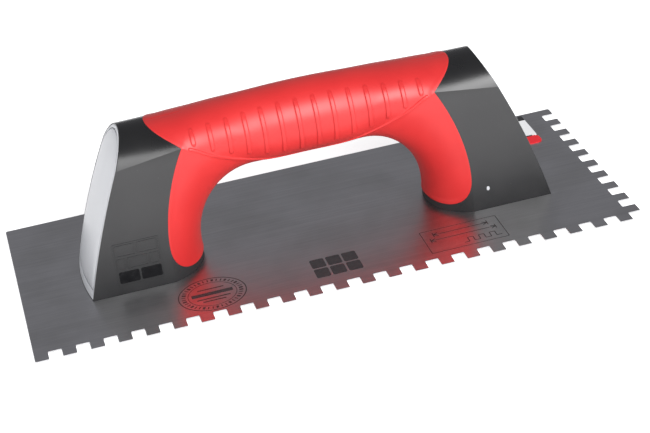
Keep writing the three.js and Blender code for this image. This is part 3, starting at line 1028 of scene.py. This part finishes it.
def black_plastic():
    """Black polypropylene: dull with a fine moulded grain on the legs, smoother where hands rub the domes,
    whose colour is painted darker as painted shade on their tops.
    """
    shader = Shader("black_plastic", Specular_IOR_Level=0.6)
    grain = shader.noise(2600.0, 3.0)
    rub = shader.noise(55.0, 4.0)
    specks = shader.ramp(shader.noise(1100.0, 1.0), (0.78, 0.0), (0.84, 1.0))
    # painted shade: above 58 to 66 mm high the domes get a darker base colour than the legs, standing in for
    # the shade on their tops; the lower roughness there is their smoother finish
    dome_polish_and_shade = shader.height_share(0.058, 0.066)
    matt = shader.ramp(rub, (0.3, (0.016, 0.016, 0.017)), (0.7, (0.022, 0.022, 0.023)))
    shaded_dome = shader.ramp(rub, (0.3, (0.006, 0.006, 0.0065)), (0.7, (0.009, 0.009, 0.0095)))
    base = shader.mix(dome_polish_and_shade, matt, shaded_dome)
    dust = shader.ramp(rub, (0.0, (0.06, 0.06, 0.061)), (1.0, (0.08, 0.08, 0.081)))
    shader.colour(shader.mix(specks, base, dust))
    legs = shader.ramp(rub, (0.3, 0.46), (0.7, 0.54))
    domes = shader.ramp(rub, (0.3, 0.23), (0.7, 0.3))
    shader.roughness(shader.mix(dome_polish_and_shade, legs, domes))
    shader.bump(grain, 0.2, 0.00005)
    return shader.material


def red_rubber():
    """Satin red elastomer with a fine grain and slightly uneven colour."""
    shader = Shader("red_rubber", Specular_IOR_Level=0.5, Sheen_Weight=0.05, Sheen_Roughness=0.85)
    shader.surface.inputs["Sheen Tint"].default_value = (1.0, 0.75, 0.65, 1.0)
    grain = shader.noise(2100.0, 3.0)
    cloud = shader.noise(45.0, 3.0)
    shader.colour(shader.ramp(cloud, (0.3, (0.5, 0.008, 0.01)), (0.7, (0.57, 0.012, 0.013))))
    shader.roughness(shader.ramp(cloud, (0.3, 0.4), (0.7, 0.48)))
    shader.bump(grain, 0.16, 0.00005)
    return shader.material


def grey_plastic():
    """Smooth light grey moulding with faint flow marks."""
    shader = Shader("grey_plastic", Specular_IOR_Level=0.4)
    flow = shader.noise(1.0, 3.0, shader.stretched((60.0, 60.0, 14.0)))
    shader.colour(shader.ramp(flow, (0.3, (0.5, 0.51, 0.535)), (0.7, (0.56, 0.57, 0.59))))
    shader.roughness(shader.ramp(flow, (0.3, 0.3), (0.7, 0.38)))
    shader.bump(shader.noise(1400.0, 2.0), 0.08, 0.00005)
    return shader.material


def polished_black():
    """The same plastic from a polished part of the mould, deep black."""
    shader = Shader("polished_black", Specular_IOR_Level=0.12)
    rub = shader.noise(300.0, 3.0)
    shader.colour(shader.ramp(rub, (0.3, (0.008, 0.008, 0.009)), (0.7, (0.013, 0.013, 0.014))))
    shader.roughness(shader.ramp(rub, (0.3, 0.2), (0.7, 0.3)))
    shader.bump(rub, 0.08, 0.00003)
    return shader.material


def film(name, colour, spread):
    """Printed film or ink: a flat colour broken by fine mottling and a soft sheen."""
    shader = Shader(name, Specular_IOR_Level=0.45)
    mottle = shader.noise(900.0, 4.0)
    pale = tuple(c + (1.0 - c) * spread for c in colour)
    shader.colour(shader.ramp(mottle, (0.35, colour), (0.75, pale)))
    shader.roughness(shader.ramp(mottle, (0.3, 0.38), (0.7, 0.5)))
    shader.bump(mottle, 0.1, 0.00003)
    return shader.material


def zinc_steel():
    """Bright zinc plate with a crystalline mottle."""
    shader = Shader("zinc_steel", Metallic=1.0)
    mottle = shader.noise(420.0, 4.0)
    shader.colour(shader.ramp(mottle, (0.3, (0.5, 0.51, 0.53)), (0.7, (0.66, 0.67, 0.68))))
    shader.roughness(shader.ramp(mottle, (0.3, 0.3), (0.7, 0.45)))
    shader.bump(mottle, 0.1, 0.00005)
    return shader.material


# ---- studio ----
# The camera solved from the photo's tooth corners: degrees, millimetres of lens, metres.
VIEW_AZIMUTH, VIEW_ELEVATION, VIEW_ROLL = -11.512, 29.662, -7.345
LENS_LENGTH, SENSOR_WIDTH = 97.27, 36.0
CAMERA_PLACE = (-0.13744, -0.699789, 0.410457)


def floor():
    """Wide white table top that fades the horizon out of the picture."""
    mesh = bpy.data.meshes.new("floor")
    reach = 4.0
    low = BLADE_LOW.z * MM - 0.0002
    corners = [(-reach, -reach, low), (reach, -reach, low), (reach, reach, low), (-reach, reach, low)]
    mesh.from_pydata(corners, [], [(0, 1, 2, 3)])
    shader = Shader("table_white", Roughness=0.9)
    shader.surface.inputs["Base Color"].default_value = (0.9, 0.9, 0.9, 1.0)
    shader.surface.inputs["Emission Color"].default_value = (1.0, 1.0, 1.0, 1.0)
    shader.surface.inputs["Emission Strength"].default_value = 0.68
    mesh.materials.append(shader.material)
    table = bpy.data.objects.new("floor", mesh)
    bpy.context.scene.collection.objects.link(table)


def area_light(name, place, size, power, colour=(1.0, 1.0, 1.0), target=(0.0, 0.0, 0.03)):
    data = bpy.data.lights.new(name, "AREA")
    data.shape = "RECTANGLE"
    data.size, data.size_y = size
    data.energy = power
    data.color = colour
    lamp = bpy.data.objects.new(name, data)
    lamp.location = place
    lamp.rotation_euler = (Vector(target) - Vector(place)).to_track_quat("-Z", "Y").to_euler()
    bpy.context.scene.collection.objects.link(lamp)
    return lamp


def keep_off(lamp, piece):
    """Stop a lamp lighting a piece: the bare steel would mirror it as a white glare in some views."""
    receivers = bpy.data.collections.new(lamp.name + "_receivers")
    receivers.objects.link(piece)
    receivers.collection_objects[0].light_linking.link_state = "EXCLUDE"
    lamp.light_linking.receiver_collection = receivers


def around(azimuth, elevation, distance):
    """Place at an azimuth from -Y towards +X and an elevation, in degrees, about the origin."""
    a, e = math.radians(azimuth), math.radians(elevation)
    level = distance * math.cos(e)
    return (level * math.sin(a), -level * math.cos(a), distance * math.sin(e))


def lights(steel):
    """Two softboxes that leave the bare steel alone, and a dim world."""
    left = area_light("left_softbox", around(-72, 14, 1.3), (0.9, 0.6), 6.5)
    front = area_light("front_softbox", around(17, 34, 1.6), (0.9, 0.95), 36.0)
    keep_off(left, steel)
    keep_off(front, steel)
    world = bpy.data.worlds.new("studio")
    world.use_nodes = True
    background = world.node_tree.nodes["Background"]
    background.inputs["Color"].default_value = (0.94, 0.94, 1.0, 1.0)
    background.inputs["Strength"].default_value = 0.24
    bpy.context.scene.world = world
    bpy.context.scene.view_settings.view_transform = "Standard"


def camera():
    """The view: a long lens from 0.82 m away, turned by azimuth, elevation and roll."""
    azimuth, elevation, roll = (math.radians(d) for d in (VIEW_AZIMUTH, VIEW_ELEVATION, VIEW_ROLL))
    back = Vector((
        math.sin(azimuth) * math.cos(elevation),
        -math.cos(azimuth) * math.cos(elevation),
        math.sin(elevation),
    ))
    level = Vector((math.cos(azimuth), math.sin(azimuth), 0.0))
    above = back.cross(level)
    right = level * math.cos(roll) + above * math.sin(roll)
    up = above * math.cos(roll) - level * math.sin(roll)
    data = bpy.data.cameras.new("camera")
    data.sensor_width = SENSOR_WIDTH
    data.lens = LENS_LENGTH
    data.clip_start = 0.05
    lens = bpy.data.objects.new("camera", data)
    turn = Matrix((right, up, back)).transposed().to_4x4()
    lens.matrix_world = Matrix.Translation(CAMERA_PLACE) @ turn
    bpy.context.scene.collection.objects.link(lens)
    bpy.context.scene.camera = lens


# ---- assembly ----
camera()
floor()
steel, black, red, grey, zinc = blade_steel(), black_plastic(), red_rubber(), grey_plastic(), zinc_steel()
lights(blade(steel))
handle_core(black)
sleeve(red)
for side, turn in (("right", 1), ("left", -1)):
    end_cap(side, turn, grey)
    end_panel(side, turn, grey)
ink = film("ink_black", (0.018, 0.018, 0.02), 0.03)
label(film("film_white", (0.88, 0.88, 0.89), 0.3), ink, film("film_red", (0.8, 0.015, 0.025), 0.02))
centre_mark(ink)
oval_stamp(ink)
notch_diagram(ink)
leg_relief(black, polished_black(), grey)
for name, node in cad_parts.items():
    if name.startswith(("weld_stud", "washer", "nut")):
        node.data.materials.clear()
        node.data.materials.append(zinc)
